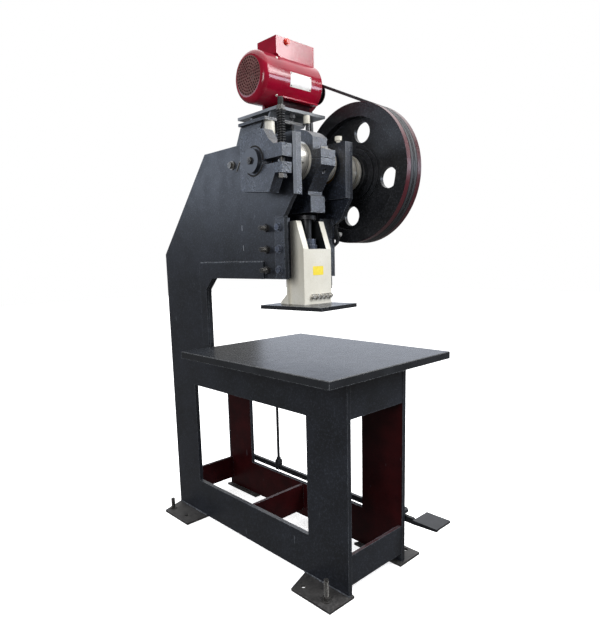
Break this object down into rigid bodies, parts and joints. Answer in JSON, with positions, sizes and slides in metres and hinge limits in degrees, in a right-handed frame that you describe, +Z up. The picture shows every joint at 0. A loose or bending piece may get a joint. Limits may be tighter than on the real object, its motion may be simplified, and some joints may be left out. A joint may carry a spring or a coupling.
{
  "type": "mechanical power press",
  "caption": "Open C-frame mechanical power press: welded plate stand with table, crank-driven slide, side flywheel, belt drive from a top motor, band brake and foot treadle.",
  "frame": {"origin": "on the floor, midway between the four free floor anchor holes, which is the middle of the stand", "axes": "+X to the flywheel side, +Y to the back, +Z up"},
  "size_m": [0.645, 1.15, 1.866],
  "materials": {
    "frame_paint": "charcoal blue enamel, satin",
    "primer": "maroon red-oxide primer, matt",
    "blackened_steel": "dark semi-gloss coat on rolled steel",
    "foot_steel": "worn grey mill steel",
    "bolt_steel": "dull dark bolt steel",
    "bush_bronze": "bearing bronze, turned",
    "bright_steel": "turned bright steel",
    "cream_paint": "cream enamel, satin",
    "grey_paint": "light grey enamel",
    "motor_red": "crimson enamel, glossy",
    "knob_orange": "orange-red moulded knob",
    "lamination": "stacked lamination steel",
    "fan_plastic": "black moulded plastic",
    "wheel_black": "black enamel on cast iron",
    "belt_rubber": "black fabric-faced rubber",
    "lining": "woven friction lining",
    "spring_steel": "oil-blackened spring wire",
    "dark_steel": "dark oiled steel"
  },
  "bodies": {
    "frame": {"left_side_plate": "frame_paint", "throat_band": "frame_paint", "right_stand_plate": "frame_paint", "right_head_plate": "frame_paint", "front_rails": "frame_paint", "head_ties": "frame_paint", "left_bearing_block": "frame_paint", "right_bearing_block": "frame_paint", "gib_plate": "frame_paint", "left_guide": "frame_paint", "right_guide": "frame_paint", "motor_pedestal": "frame_paint", "motor_base_plate": "frame_paint", "brake_body": "frame_paint", "middle_cross_plate": "primer", "rear_rails": "primer", "table": "blackened_steel", "foot_plates": "foot_steel", "floor_bolts": "bolt_steel", "gib_bolts": "bolt_steel", "gib_studs": "bolt_steel", "motor_studs": "bolt_steel", "brake_bolt": "bolt_steel", "brake_anchor": "bolt_steel", "bearing_bushes": "bush_bronze", "oil_cup": "bright_steel", "spacer_posts": "cream_paint", "bracket_channel": "grey_paint", "motor_housing": "motor_red", "fan_cowl": "motor_red", "end_bells": "motor_red", "capacitor_box": "motor_red", "box_knob": "knob_orange", "stator_core": "lamination", "v_belts": "belt_rubber", "brake_lining": "lining", "brake_spring": "spring_steel", "return_spring": "spring_steel", "lever_mounts": "dark_steel"},
    "flywheel": {"flywheel": "wheel_black", "flywheel_bush": "bush_bronze"},
    "motor_rotor": {"motor_rotor": "bright_steel", "cooling_fan": "fan_plastic", "motor_pulley": "wheel_black"},
    "crankshaft": {"crankshaft": "bright_steel", "brake_drum": "wheel_black", "clutch_collar": "bright_steel", "end_collar": "bright_steel"},
    "pitman": {"pitman_bush": "bush_bronze", "pitman_rod": "frame_paint", "pitman_cap": "frame_paint", "pitman_bolts": "bolt_steel"},
    "slide": {"slide": "cream_paint", "adjusting_screw": "dark_steel", "lock_collar": "dark_steel", "punch_plate": "blackened_steel", "clamp_screws": "bolt_steel"},
    "pedal": {"pedal_lever": "dark_steel"},
    "pull_rod": {"pull_rod": "dark_steel"},
    "trip_lever": {"trip_lever": "dark_steel"}
  },
  "joints": [
    {"name": "flywheel_spin", "type": "hinge", "parent": "frame", "child": "flywheel", "pos_m": [0.267, -0.205, 1.386], "axis": [1, 0, 0], "continuous": true},
    {"name": "motor_spin", "type": "hinge", "parent": "frame", "child": "motor_rotor", "pos_m": [0.267, 0.02, 1.724], "axis": [1, 0, 0], "continuous": true},
    {"name": "crank_turn", "type": "hinge", "parent": "frame", "child": "crankshaft", "pos_m": [0, -0.205, 1.386], "axis": [1, 0, 0], "range_deg": [0, 180]},
    {"name": "pitman_swing", "type": "hinge", "parent": "crankshaft", "child": "pitman", "pos_m": [-0.0105, -0.205, 1.404], "axis": [1, 0, 0], "range_deg": [-180, 0]},
    {"name": "slide_stroke", "type": "slide", "parent": "frame", "child": "slide", "axis": [0, 0, -1], "range_m": [0, 0.036]},
    {"name": "pedal_press", "type": "hinge", "parent": "frame", "child": "pedal", "pos_m": [0.164, 0.44, 0.17], "axis": [1, 0, 0], "range_deg": [0, 4.5], "stiffness_Nm_per_rad": 200, "springref_deg": -9.17},
    {"name": "rod_pull", "type": "slide", "parent": "frame", "child": "pull_rod", "axis": [0, 0, -1], "range_m": [0, 0.0203], "deforming": ["return_spring"]},
    {"name": "trip_swing", "type": "hinge", "parent": "frame", "child": "trip_lever", "pos_m": [0.136, -0.201, 1.203], "axis": [1, 0, 0], "range_deg": [-12, 12]}
  ],
  "couplings": [
    {"joint": "motor_spin", "follows": "flywheel_spin", "ratio": 6.8592},
    {"joint": "pitman_swing", "follows": "crank_turn", "ratio": -1},
    {"joint": "slide_stroke", "follows": "crank_turn", "m_per_rad": 0.011459},
    {"joint": "rod_pull", "follows": "pedal_press", "m_per_rad": 0.258}
  ]
}
